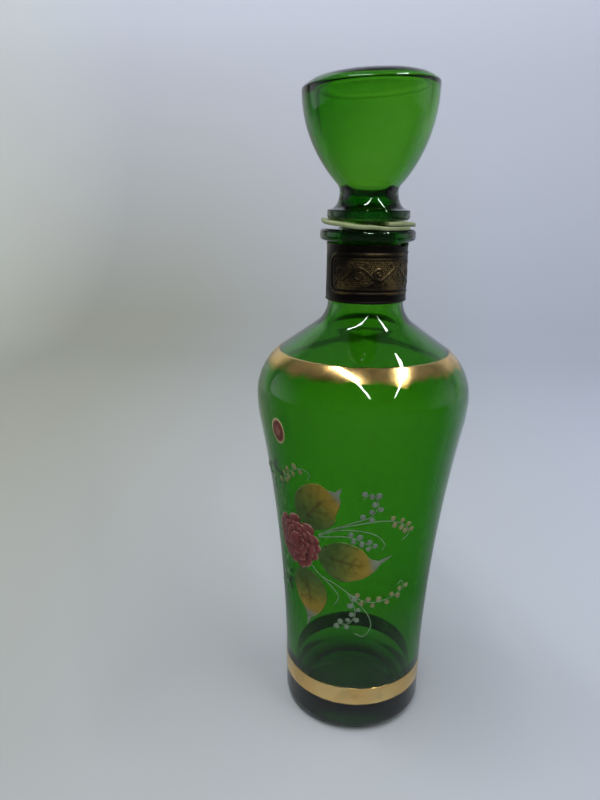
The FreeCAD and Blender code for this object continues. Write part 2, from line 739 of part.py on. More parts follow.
def side_skin():
    # a layer over the bottle's flared side and lower shoulder
    foot = (size("foot_radius"), size("foot_height"))
    shoulder = (size("shoulder_radius"), size("shoulder_height"))
    layer = size("layer")
    low, high, meet = ogee(foot, shoulder, end_round=size("lower_shoulder_round"))
    flare = low[0] - foot[0] - size("layer_gap")
    lower = size("lower_shoulder_round") + size("layer_gap")
    bend = math.atan2(meet[1] - high[1], meet[0] - high[0])
    inner = [arc_edge(low, flare, math.pi, math.pi + bend), arc_edge(high, lower, bend, 0)]
    outer = [arc_edge(high, lower + layer, 0, bend), arc_edge(low, flare - layer, math.pi + bend, math.pi)]
    top = Part.makeLine(inner[1].lastVertex(True).Point, outer[0].firstVertex(True).Point)
    bottom = Part.makeLine(outer[1].lastVertex(True).Point, inner[0].firstVertex(True).Point)
    wire = Part.Wire([inner[0], inner[1], top, outer[0], outer[1], bottom])
    return Part.Face(wire).revolve(Vector(0, 0, 0), Vector(0, 0, 1), 360)


def facing(prism, height, turn, tilt=0.0):
    # a prism drawn about the axis towards the front is tilted, lifted and turned to the left
    prism.rotate(Vector(0, 0, 0), Vector(0, 1, 0), -tilt)
    prism.translate(Vector(0, 0, height))
    prism.rotate(Vector(0, 0, 0), Vector(0, 0, 1), -turn)
    return prism


def outwards():
    return Vector(0, -2 * size("shoulder_radius"), 0)


def rose_prism(gap=0.0):
    # a round heart with a ring of overlapping petals
    petals = 7
    reach = size("petal_reach")
    front = outwards()
    prism = Part.makeCylinder(size("rose_heart_radius") + gap, front.Length, Vector(0, 0, 0), front)
    for index in range(petals):
        angle = 2 * math.pi * index / petals
        middle = Vector(reach * math.cos(angle), 0, reach * math.sin(angle))
        petal = Part.makeCylinder(size("petal_radius") + gap, front.Length, middle, front)
        prism = prism.fuse(petal)
    return facing(prism.removeSplitter(), size("rose_height"), size("rose_turn"))


def leaf_prism(name):
    # two arcs that meet at the stalk and at the tip
    half = size("leaf_length") / 2
    stalk = Vector(-half, 0, 0)
    tip = Vector(half, 0, 0)
    bulge = Vector(0, 0, size("leaf_width") / 2)
    upper = Part.Arc(stalk, bulge, tip).toShape()
    lower = Part.Arc(tip, -bulge, stalk).toShape()
    prism = Part.Face(Part.Wire([upper, lower])).extrude(outwards())
    return facing(prism, size(name + "_height"), size(name + "_turn"), size(name + "_tilt"))


def make_floral_transfer():
    skin = side_skin()
    patches = [skin.common(rose_prism())]
    room = rose_prism(size("leaf_gap"))
    for name in ("upper_leaf", "side_leaf", "lower_leaf"):
        patches.append(skin.common(leaf_prism(name)).cut(room))
    solids = [solid for patch in patches for solid in patch.Solids]
    feature = doc.addObject("Part::Feature", "floral_transfer")
    feature.Label = "floral_transfer"
    feature.Shape = Part.makeCompound(solids)
    return feature


def make_oval_label():
    oval = Part.Ellipse(Vector(0, 0, 0), size("label_length") / 2, size("label_width") / 2)
    face = Part.Face(Part.Wire(oval.toShape()))
    face.rotate(Vector(0, 0, 0), Vector(1, 0, 0), 90)
    height = size("shoulder_height") - size("label_drop")
    prism = facing(face.extrude(outwards()), height, size("label_turn"), tilt=90)
    feature = doc.addObject("Part::Feature", "oval_label")
    feature.Label = "oval_label"
    feature.Shape = side_skin().common(prism).Solids[0]
    return feature


parts = [
    make_bottle(),
    make_neck_band(),
    make_foot_gilt_band(),
    make_shoulder_gilt_band(),
    make_floral_transfer(),
    make_oval_label(),
    make_sleeve(),
    make_seal_ring(),
    make_stopper(),
]
doc.recompute()
failed = [item.Name for item in doc.Objects if "Invalid" in item.State or "Error" in item.State]
for part in parts:
    if part.Shape.isNull() or not part.Shape.isValid():
        failed.append(part.Label)
if failed:
    raise RuntimeError("these did not build: " + ", ".join(failed))
os.makedirs("parts", exist_ok=True)
for part in parts:
    part.Shape.exportStep("parts/%s.step" % part.Label)
    print("%s: %d solids, %.1f mm3" % (part.Label, len(part.Shape.Solids), part.Shape.Volume))
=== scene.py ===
import bisect
import math

import bmesh
import bpy
from mathutils import Matrix, Vector, kdtree, noise


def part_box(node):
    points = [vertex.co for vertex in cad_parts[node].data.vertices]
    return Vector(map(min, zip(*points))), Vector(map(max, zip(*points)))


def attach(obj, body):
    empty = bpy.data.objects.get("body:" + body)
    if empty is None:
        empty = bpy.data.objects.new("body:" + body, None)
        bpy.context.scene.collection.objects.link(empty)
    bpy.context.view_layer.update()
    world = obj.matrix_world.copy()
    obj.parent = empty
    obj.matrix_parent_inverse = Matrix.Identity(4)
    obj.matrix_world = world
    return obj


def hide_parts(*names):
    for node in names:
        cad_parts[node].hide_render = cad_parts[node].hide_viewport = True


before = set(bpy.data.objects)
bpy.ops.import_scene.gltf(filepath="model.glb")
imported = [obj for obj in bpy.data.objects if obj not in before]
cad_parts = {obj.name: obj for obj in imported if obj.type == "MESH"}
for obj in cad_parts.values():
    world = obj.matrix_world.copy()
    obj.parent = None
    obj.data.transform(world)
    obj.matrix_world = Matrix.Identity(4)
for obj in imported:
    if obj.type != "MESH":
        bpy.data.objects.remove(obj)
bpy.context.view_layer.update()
scene = bpy.context.scene
scene.view_settings.view_transform = "Standard"
mm = 0.001
print("frame loaded:", ", ".join(sorted(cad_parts)))


# small tools for outlines, which are (radius, height) in mm

def arcPoints(centre, radius, start, end, steps):
    first, last = math.radians(start), math.radians(end)
    points = []
    for i in range(steps + 1):
        angle = first + (last - first) * i / steps
        points.append((centre[0] + radius * math.cos(angle), centre[1] + radius * math.sin(angle)))
    return points


def linePoints(start, end, steps):
    return [mixed(start, end, i / steps) for i in range(steps + 1)]


def chain(*runs):
    path = []
    for run in runs:
        for point in run:
            if not path or math.dist(point, path[-1]) > 1e-4:
                path.append(point)
    return path


def ogee(start, end, startRound=None, endRound=None, steps=(12, 48)):
    # leaves start straight up, bends out, and arrives at end straight up
    out, rise = end[0] - start[0], end[1] - start[1]
    both = (out**2 + rise**2) / (2 * out)
    first = startRound if startRound else both - endRound
    bend = math.degrees(math.asin(rise / both))
    low = arcPoints((start[0] + first, start[1]), first, 180, 180 - bend, steps[0])
    high = arcPoints((end[0] - both + first, end[1]), both - first, -bend, 0, steps[1])
    return chain(low, high)


def smooth(value, low, high):
    share = min(max((value - low) / (high - low), 0), 1)
    return share * share * (3 - 2 * share)


def mixed(first, second, share):
    return tuple(a + (b - a) * share for a, b in zip(first, second))


def throughPoints(points, steps):
    # a smooth curve through given points
    ends = [points[0], *points, points[-1]]
    path = []
    for a, b, c, d in zip(ends, ends[1:], ends[2:], ends[3:]):
        for i in range(steps):
            t = i / steps
            path.append(tuple(
                0.5 * (2 * q + (r - p) * t + (2 * p - 5 * q + 4 * r - s) * t**2
                       + (3 * q - p - 3 * r + s) * t**3)
                for p, q, r, s in zip(a, b, c, d)))
    return path + [points[-1]]


def waveAt(spot, across, along):
    return noise.noise(Vector((spot.x / across, spot.y / across, spot.z / along)))


def nodeSpan(node):
    low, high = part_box(node)
    return low.z / mm, high.z / mm


def turnOf(spot):
    # degrees round the axis, 0 at the front and positive to the right
    return math.degrees(math.atan2(spot[0], -spot[1]))


def meshObject(name, points, faces):
    mesh = bpy.data.meshes.new(name)
    mesh.from_pydata([(x * mm, y * mm, z * mm) for x, y, z in points], [], faces)
    made = bmesh.new()
    made.from_mesh(mesh)
    bmesh.ops.recalc_face_normals(made, faces=made.faces)
    made.to_mesh(mesh)
    made.free()
    mesh.shade_smooth()
    piece = bpy.data.objects.new(name, mesh)
    scene.collection.objects.link(piece)
    return piece


def addFace(faces, low, high, i, j, flip=False):
    # between two rows, a triangle where a side is pinched
    corners = [low[i], low[j], high[j], high[i]]
    face = [c for k, c in enumerate(corners) if c != corners[k - 1]]
    if len(face) > 2:
        faces.append(face[::-1] if flip else face)


def turned(name, path, segments, shape=None, closed=False):
    # spins an outline about the axis; a point on the axis becomes a pole
    points, rings = [], []
    for radius, height in path:
        if radius < 1e-6:
            rings.append([len(points)] * segments)
            points.append((0, 0, height))
            continue
        ring = []
        for i in range(segments):
            angle = 2 * math.pi * i / segments
            ring.append(len(points))
            points.append((radius * math.sin(angle), -radius * math.cos(angle), height))
        rings.append(ring)
    if shape:
        spots = [None] * len(points)
        for step, ring in enumerate(rings):
            for index in ring:
                spots[index] = shape(step, Vector(points[index]))
        points = spots
    faces = []
    pairs = list(zip(rings, rings[1:] + rings[:1]))
    for low, high in pairs if closed else pairs[:-1]:
        for i in range(segments):
            addFace(faces, low, high, i, (i + 1) % segments)
    return meshObject(name, points, faces)


def measure(piece, name, value):
    # a number at each point of the mesh, for its material
    field = piece.data.attributes.new(name, "FLOAT", "POINT")
    field.data.foreach_set("value", [value(vertex.co / mm) for vertex in piece.data.vertices])


def dress(piece, material, node, body):
    piece.data.materials.append(material)
    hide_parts(node)
    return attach(piece, body)


# small tools for materials

def principled(name):
    material = bpy.data.materials.new(name)
    material.use_nodes = True
    return material, material.node_tree.nodes["Principled BSDF"]


def addNode(near, kind):
    # a new node in the tree of another node or socket
    return near.id_data.nodes.new("ShaderNode" + kind)


def plug(socket, value):
    # another node's output is linked, anything else is set
    if isinstance(value, bpy.types.NodeSocket):
        socket.id_data.links.new(value, socket)
    else:
        socket.default_value = value


def fill(node, values):
    for key, value in values.items():
        plug(node.inputs[key], value)


def axes(place):
    split = addNode(place, "SeparateXYZ")
    fill(split, {"Vector": place})
    return split.outputs


def attribute(near, name, output):
    node = addNode(near, "Attribute")
    node.attribute_name = name
    return node.outputs[output]


def objectNoise(near, scale, detail=3):
    place = addNode(near, "TexCoord")
    grain = addNode(near, "TexNoise")
    fill(grain, {"Scale": scale, "Detail": detail, "Vector": place.outputs["Object"]})
    return grain.outputs["Fac"]


def ranged(source, low, high, fromLow=0.3, fromHigh=0.7):
    node = addNode(source, "MapRange")
    fill(node, {"Value": source, "From Min": fromLow, "From Max": fromHigh, "To Min": low, "To Max": high})
    return node.outputs["Result"]


def combined(operation, first, second):
    node = addNode(second if isinstance(first, int) else first, "Math")
    node.operation = operation
    for socket, value in zip(node.inputs, (first, second)):
        plug(socket, value)
    return node.outputs["Value"]


def blended(factor, first, second, kind="MIX"):
    node = addNode(first if isinstance(factor, int) else factor, "Mix")
    node.data_type = "RGBA"
    node.blend_type = kind
    plug(node.inputs["Factor"], factor)
    colours = [socket for socket in node.inputs if socket.type == "RGBA"]
    for socket, value in zip(colours, (first, second)):
        plug(socket, (*value, 1) if isinstance(value, tuple) else value)
    return [o for o in node.outputs if o.type == "RGBA"][0]


def bumped(source, surface, strength, distance):
    bump = addNode(source, "Bump")
    fill(bump, {"Height": source, "Strength": strength, "Distance": distance})
    plug(surface.inputs["Normal"], bump.outputs["Normal"])


def plastic(name, s):
    # mottled, and a little soft under its surface
    material, surface = principled(name)
    mottle = objectNoise(surface, s["mottleScale"], 4)
    fill(surface, {
        "Base Color": blended(ranged(mottle, 0, 1), s["colour"], s["mottle"]),
        "Roughness": ranged(mottle, *s["roughness"]),
        "Subsurface Weight": s["softness"],
        "Subsurface Radius": s["scatter"],
    })
    bumped(objectNoise(surface, s["grainScale"], 2), surface, 0.3, s["grainDepth"])
    return material


# green glass: clear, with its colour in the depth, a faint wave and a trace of handling

glassFinish = {
    "ior": 1.51,
    "absorb": (288, 110, 500),       # per metre, red green blue
    "roughness": (0.0, 0.025),
    "smudgeScale": 34,
    "smudgeRange": (0.45, 0.75),
    "waveScale": 22,
    "waveDepth": 0.00012,
}


def greenGlass(name, s):
    material, surface = principled(name)
    smudge = objectNoise(surface, s["smudgeScale"])
    fill(surface, {
        "Base Color": (1, 1, 1, 1),
        "Transmission Weight": 1,
        "IOR": s["ior"],
        "Roughness": ranged(smudge, *s["roughness"], *s["smudgeRange"]),
    })
    bumped(objectNoise(surface, s["waveScale"], 1), surface, 1, s["waveDepth"])
    most = max(s["absorb"])
    depth = addNode(surface, "VolumeAbsorption")
    fill(depth, {"Density": most, "Color": (*(1 - a / most for a in s["absorb"]), 1)})
    fill(material.node_tree.nodes["Material Output"], {"Volume": depth.outputs["Volume"]})
    return material


glass = greenGlass("green_glass", glassFinish)

# the bottle's glass, one closed skin over the outside and the hollow

bottle = {
    "footRadius": 34.4, "footHeight": 14, "heelRound": 6, "bearingWidth": 4, "puntDepth": 4,
    "shoulderRadius": 49, "shoulderHeight": 164, "lowerRound": 60, "upperRound": 26,
    "slopeAngle": 35.5, "neckFillet": 13, "neckRadius": 16.9, "neckLength": 31.2,
    "lipRadius": 21, "lipThickness": 5, "lipRound": 1.5, "lipFillet": 1,
    "wall": 5, "baseThickness": 10, "innerHeel": 9, "bore": 12.6, "mouthRound": 1.2,
    "segments": 256, "innerWave": 0.16, "waveGrain": (30, 70),
}


def neckFoot(shoulderRadius, shoulderRound, neckRadius, fillet):
    # where the straight slope leaves the shoulder, and where the neck's fillet ends
    angle = math.radians(bottle["slopeAngle"])
    leave = (shoulderRadius - shoulderRound * (1 - math.sin(angle)),
             bottle["shoulderHeight"] + shoulderRound * math.cos(angle))
    corner = leave[1] + (leave[0] - neckRadius) * math.tan(angle)
    return leave, corner + fillet * math.tan((math.pi / 2 - angle) / 2)


def bottleSide(foot, shoulderRadius, lowerRound, upperRound, neckRadius, fillet):
    s = bottle
    rise = 90 - s["slopeAngle"]
    leave, neckStart = neckFoot(shoulderRadius, upperRound, neckRadius, fillet)
    side = ogee(foot, (shoulderRadius, s["shoulderHeight"]), endRound=lowerRound, steps=(56, 10))
    upper = arcPoints((shoulderRadius - upperRound, s["shoulderHeight"]), upperRound, 0, rise, 24)
    neck = arcPoints((neckRadius + fillet, neckStart), fillet, 180 + rise, 180, 16)
    return chain(side, upper, linePoints(leave, neck[0], 8), neck)


def outerSide():
    s = bottle
    return bottleSide((s["footRadius"], s["footHeight"]), s["shoulderRadius"], s["lowerRound"],
                      s["upperRound"], s["neckRadius"], s["neckFillet"])


neckStart = neckFoot(bottle["shoulderRadius"], bottle["upperRound"], bottle["neckRadius"],
                     bottle["neckFillet"])[1]
mouthHeight = neckStart + bottle["neckLength"]


def bottleOutline():
    s = bottle
    foot, heel, edge, lead = s["footRadius"], s["heelRound"], s["lipRound"], s["mouthRound"]
    tuck = s["lipFillet"]
    bearing = foot - heel - s["bearingWidth"]
    puntRound = (bearing**2 + s["puntDepth"]**2) / (2 * s["puntDepth"])
    puntTurn = math.degrees(math.asin(bearing / puntRound))
    under = mouthHeight - s["lipThickness"]
    outer = chain(
        arcPoints((0, s["puntDepth"] - puntRound), puntRound, 90, 90 - puntTurn, 10),
        linePoints((bearing, 0), (foot - heel, 0), 2),
        arcPoints((foot - heel, heel), heel, -90, 0, 10),
        linePoints((foot, heel), (foot, s["footHeight"]), 8),
        outerSide(),
        linePoints((s["neckRadius"], neckStart), (s["neckRadius"], under - tuck), 10),
        arcPoints((s["neckRadius"] + tuck, under - tuck), tuck, 180, 90, 4),
        arcPoints((s["lipRadius"] - edge, under + edge), edge, -90, 0, 6),
        arcPoints((s["lipRadius"] - edge, mouthHeight - edge), edge, 0, 90, 6),
    )
    innerFoot = foot - s["wall"]
    fillet = s["neckFillet"] + s["neckRadius"] - s["bore"]
    floor = s["baseThickness"]
    inner = chain(
        linePoints((0, floor), (innerFoot - s["innerHeel"], floor), 8),
        arcPoints((innerFoot - s["innerHeel"], floor + s["innerHeel"]), s["innerHeel"], -90, 0, 12),
        bottleSide((innerFoot, floor + s["innerHeel"]), s["shoulderRadius"] - s["wall"],
                   s["lowerRound"] - s["wall"], s["upperRound"] - s["wall"], s["bore"], fillet),
        arcPoints((s["bore"] + lead, mouthHeight - lead), lead, 180, 90, 6),
    )
    return outer, inner


def makeBottle():
    outer, inner = bottleOutline()
    seam = len(outer)

    def blown(step, spot):
        # the inside follows the mould less truly than the outside
        if step < seam or spot.z > neckStart:
            return spot
        wave = waveAt(spot, *bottle["waveGrain"])
        radial = Vector((spot.x, spot.y, 0))
        if radial.length > 1:
            spot = spot + radial.normalized() * wave * bottle["innerWave"]
        return spot

    piece = turned("bottle_glass_skin", outer + inner[::-1], bottle["segments"], blown)
    return dress(piece, glass, "bottle_glass", "bottle")


bottlePiece = makeBottle()
print("bottle: mouth at %.1f mm, %d faces" % (mouthHeight, len(bottlePiece.data.polygons)))

# places on the outside of the glass, for what lies on it

wallLine = chain(linePoints((bottle["footRadius"], bottle["heelRound"]),
                            (bottle["footRadius"], bottle["footHeight"]), 4), outerSide())
wallHeights = [height for radius, height in wallLine]


def wallAt(height):
    # radius and outward normal
    i = min(max(bisect.bisect_right(wallHeights, height), 1), len(wallLine) - 1)
    (r0, z0), (r1, z1) = wallLine[i - 1], wallLine[i]
    along = math.hypot(r1 - r0, z1 - z0)
    return r0 + (r1 - r0) * (height - z0) / (z1 - z0), (z1 - z0) / along, (r0 - r1) / along


def onGlass(turn, height, lift):
    radius, out, up = wallAt(height)
    reach, angle = radius + out * lift, math.radians(turn)
    return Vector((reach * math.sin(angle), -reach * math.cos(angle), height + up * lift))


def aside(place, right, up):
    # mm to the right and up along the glass
    turn, height = place
    return turn + math.degrees(right / wallAt(height)[0]), height + up


# the stopper: a hollow blown head on a waisted stem, leaning a little to the left

stopper = {
    "shankRadius": 10.1, "shankLength": 30, "shankRound": 1.5,
    "flangeRadius": 18.1, "flangeThickness": 4.3, "flangeRound": 1.4, "flangeEdge": 0.6,
    "stemRadius": 12.8, "stemFoot": (4.7, 6.8), "stemLength": 7.8, "headFoot": 3.8,
    "headRadius": 28.9, "headLength": 41.3, "rimRound": 1.4,
    "crownSlopes": (43, 11), "crownRound": 14.5, "crownWave": 0.05, "crownGrain": 6,
    "headWall": 4.9, "ceiling": 4.2, "ceilingRise": 1.6, "blowHole": 6.6,
    "cavityRound": 2.8, "cavityBend": 9, "cavityFoot": 20, "cavityDrop": 7.9,
    "cavityShift": 1.3, "cavityWave": 0.22, "cavityGrain": (11, 34), "cavityCore": 4,
    "lean": 1.2, "topTilt": 3, "segments": 256,
}
seat = nodeSpan("stopper_glass")[0] + stopper["shankLength"]


def stopperOutline():
    s = stopper
    bottom, tip, edge, lip = seat - s["shankLength"], s["shankRound"], s["flangeRound"], s["flangeEdge"]
    footReach, footRise = s["stemFoot"]
    flangeTop = seat + s["flangeThickness"]
    stemTop = flangeTop + s["stemLength"]
    rim = stemTop + s["headLength"]
    # the top swells from a small rim: a bend that falls from steep to gentle, then a wide cap
    steep, gentle = (90 - slope for slope in s["crownSlopes"])
    rimArc = arcPoints((s["headRadius"] - s["rimRound"], rim), s["rimRound"], 0, steep, 8)
    reach = s["rimRound"] - s["crownRound"]
    bend = (s["headRadius"] - s["rimRound"] + reach * math.cos(math.radians(steep)),
            rim + reach * math.sin(math.radians(steep)))
    bendArc = arcPoints(bend, s["crownRound"], steep, gentle, 12)
    cap = bendArc[-1][0] / math.cos(math.radians(gentle))
    capFoot = bendArc[-1][1] - cap * math.sin(math.radians(gentle))
    top = capFoot + cap
    outer = chain(
        linePoints((s["blowHole"], bottom), (s["shankRadius"] - tip, bottom), 2),
        arcPoints((s["shankRadius"] - tip, bottom + tip), tip, -90, 0, 5),
        linePoints((s["shankRadius"], bottom + tip), (s["shankRadius"], seat), 8),
        arcPoints((s["flangeRadius"] - edge, seat + edge), edge, -90, 0, 6),
        arcPoints((s["flangeRadius"] - lip, flangeTop - lip), lip, 0, 90, 6),
        [(s["stemRadius"] + footReach * (1 + x), flangeTop + footRise * (1 + z))
         for x, z in arcPoints((0, 0), 1, 270, 180, 16)],
        ogee((s["stemRadius"], stemTop), (s["headRadius"], rim), startRound=s["headFoot"]),
        rimArc,
        bendArc,
        arcPoints((0, capFoot), cap, gentle, 90, 20),
    )
    wide = s["headRadius"] - s["headWall"]
    funnel = stemTop - s["cavityDrop"]
    ceiling = top - s["ceiling"]
    corner = (wide - s["cavityRound"], ceiling - s["ceilingRise"] - s["cavityRound"])
    vault = (corner[0]**2 + (ceiling - corner[1])**2 - s["cavityRound"]**2) / (2 * s["ceilingRise"])
    spring = math.degrees(math.atan2(corner[1] - ceiling + vault, corner[0]))
    hollow = chain(
        linePoints((s["blowHole"], bottom), (s["blowHole"], funnel), 12),
        ogee((s["blowHole"], funnel), (wide, top - s["cavityBend"]),
             startRound=s["cavityFoot"], steps=(24, 48)),
        arcPoints(corner, s["cavityRound"], 0, spring, 8),
        arcPoints((0, ceiling - vault), vault, spring, 90, 24),
    )
    return outer, hollow, flangeTop, stemTop, rim


def makeStopper():
    s = stopper
    outer, hollow, flangeTop, stemTop, rim = stopperOutline()
    path = chain(hollow[::-1], outer)
    within = len(hollow)
    lean = math.tan(math.radians(s["lean"]))
    tilt = math.tan(math.radians(s["topTilt"]))

    def blown(step, spot):
        rise = smooth(spot.z, stemTop, rim)
        shift = -lean * max(spot.z - flangeTop, 0)
        swell = 0
        if step < within:
            shift += s["cavityShift"] * rise
            wave = waveAt(spot, *s["cavityGrain"])
            spot = spot.copy()
            spot.xy *= 1 + s["cavityWave"] * wave * rise / max(spot.xy.length, s["cavityCore"])
        elif spot.z > rim:
            grain = s["crownGrain"]
            capped = smooth(s["headRadius"] - spot.xy.length, s["rimRound"], 4 * s["rimRound"])
            swell = s["crownWave"] * capped * noise.noise(Vector((spot.x / grain, spot.y / grain, 9)))
        return Vector((spot.x + shift, spot.y, spot.z + swell + tilt * spot.x * rise))

    piece = turned("stopper_glass_skin", path, s["segments"], blown)
    dress(piece, glass, "stopper_glass", "stopper")


makeStopper()
print("stopper: seat at %.1f mm" % seat)

# burnished gold on the shoulder and the foot, thin, rubbed and a little uneven at its edges

gilding = {
    "lift": 0.03, "thickness": 0.06, "steps": 24, "segments": 256,
    "wander": 0.14, "wanderScales": (5, 1.7), "edgePower": 6, "fadeStart": 0.2,
    "colour": (1.0, 0.72, 0.30), "rubbed": (0.86, 0.50, 0.15), "roughness": (0.085, 0.25),
    "cloudScale": 70, "patchScale": 130, "patchReach": 0.3, "grainScale": 420, "grainDepth": 0.00003,
    "wornRange": (0.2, 1.0), "rubMost": 0.6, "rubRange": (0.42, 0.72),
    # how much the film hides the glass, and mm worn soft along its lower edge
    "bands": {"shoulder_gilt_band": (0.8, 5.2), "foot_gilt_band": (0.88, 0.2)},
}


def giltFinish(name, s, cover):
    material, surface = principled(name)
    cloud = objectNoise(surface, s["cloudScale"], 5)
    film = attribute(surface, "film", "Fac")
    patches = ranged(objectNoise(surface, s["patchScale"], 4), -s["patchReach"], s["patchReach"])
    thin = combined("SUBTRACT", 1, film)
    rub = combined("MAXIMUM", ranged(cloud, 0, s["rubMost"], *s["rubRange"]), thin)
    fill(surface, {
        "Metallic": 1,
        "Alpha": ranged(combined("ADD", film, patches), 0, cover, *s["wornRange"]),
        "Base Color": blended(rub, s["colour"], s["rubbed"]),
        "Roughness": ranged(cloud, *s["roughness"]),
    })
    bumped(objectNoise(surface, s["grainScale"], 2), surface, 0.5, s["grainDepth"])
    return material


def makeGiltBand(node, fade, finish):
    s = gilding
    low, high = nodeSpan(node)
    steps = s["steps"]
    rows = [(low + (high - low) * i / steps, s["lift"]) for i in range(steps + 1)]
    rows += [(height, s["lift"] + s["thickness"]) for height, lift in rows[::-1]]

    def laid(step, spot):
        height, lift = rows[step]
        broad, fine = s["wanderScales"]
        edge = abs(2 * (height - low) / (high - low) - 1)**s["edgePower"]
        wander = noise.noise(spot / broad) + 0.5 * noise.noise(spot / fine)
        return onGlass(turnOf(spot), height + s["wander"] * edge * wander, lift)

    path = [(wallAt(height)[0], height) for height, lift in rows]
    piece = turned(node + "_leaf", path, s["segments"], laid, closed=True)
    start, end = low - s["fadeStart"], low + fade
    measure(piece, "film", lambda spot: smooth(spot.z, start, end))
    dress(piece, finish, node, "bottle")


for band, (cover, fade) in gilding["bands"].items():
    makeGiltBand(band, fade, giltFinish(band + "_film", gilding, cover))
    print("gilding laid: %s from %.1f to %.1f mm" % (band, *nodeSpan(band)))

# the embossed band round the neck: a scroll in a long frame over a stippled ground

neckBand = {
    "thickness": 0.45, "inset": 0.1, "segments": 560, "rows": 120, "edgeBead": 0.5, "beadRise": 0.28,
    "frameTurns": (-58, 122), "frameMargin": 4.2, "frameRound": 4.5, "frameWidth": 0.75, "frameRise": 0.4,
    "innerLine": 1.9, "innerWidth": 0.45, "groundMargin": 2.4, "scrollMargin": 4,
    "scrollWaves": 3, "scrollReach": 2.6, "scrollRise": 0.42, "stemWidth": 0.62, "stemStep": 0.15,
    "curlRadius": 2.5, "curlTurns": 1.35, "curlShrink": 0.8, "curlTaper": 0.45, "curlDrop": 0.4,
    "curlPoints": 90, "leafFoot": (2.4, 3.0), "leafReach": (1.6, 1.9), "leafWidth": 0.75, "leafPoints": 24,
    "stippleStep": 0.85, "stippleSize": 0.36, "stippleRise": 0.22, "stippleStray": 0.4,
    "pressing": 0.75, "setBack": 0.12, "dent": 0.09, "dentGrain": (7, 6), "scuff": 0.03,
    "notchTurn": 58, "notchWidth": 16, "notchDepth": 0.9, "notchFrom": 0.8,
    # how far each part is rubbed bright
    "shine": {"bead": 0.15, "frame": 0.5, "inner": 0.8, "vine": 0.25, "ground": 0.12},
    "dark": (0.009, 0.007, 0.006), "bright": (0.46, 0.33, 0.125), "roughness": (0.3, 0.5),
    "metallic": 0.85, "patchScale": 64, "patchLeast": 0.05, "patchRange": (0.43, 0.66),
    "grainScale": 900, "grainDepth": 0.00006,
}


def scrollTree(length):
    # points along a running vine with a curl in each bend, in mm over the unrolled frame
    s = neckBand
    spots = []
    wave = length / s["scrollWaves"]
    count = int(length / s["stemStep"])
    for i in range(count + 1):
        across = length * (i / count - 0.5)
        rise = s["scrollReach"] * math.sin(2 * math.pi * across / wave)
        spots.append((across, rise, s["stemWidth"]))
    for k in range(2 * s["scrollWaves"]):
        side = 1 if k % 2 else -1
        middle = length * ((k + 0.5) / (2 * s["scrollWaves"]) - 0.5)
        for i in range(s["curlPoints"]):
            share = i / (s["curlPoints"] - 1)
            turn = math.pi / 2 + 2 * math.pi * s["curlTurns"] * share
            reach = s["curlRadius"] * (1 - s["curlShrink"] * share)
            spots.append((middle + reach * math.cos(turn), side * (reach * math.sin(turn) - s["curlDrop"]),
                          s["stemWidth"] * (1 - s["curlTaper"] * share)))
        (out, up), (farther, higher) = s["leafFoot"], s["leafReach"]
        for tip in (-1, 1):
            for i in range(s["leafPoints"]):
                share = i / (s["leafPoints"] - 1)
                spots.append((middle + tip * (out + farther * share), side * (up + higher * share**0.7),
                              s["leafWidth"] * math.sin(math.pi * (0.12 + 0.85 * share))))
    tree = kdtree.KDTree(len(spots))
    for index, (across, rise, width) in enumerate(spots):
        tree.insert((across, rise, 0), index)
    tree.balance()
    return tree, [width for across, rise, width in spots]


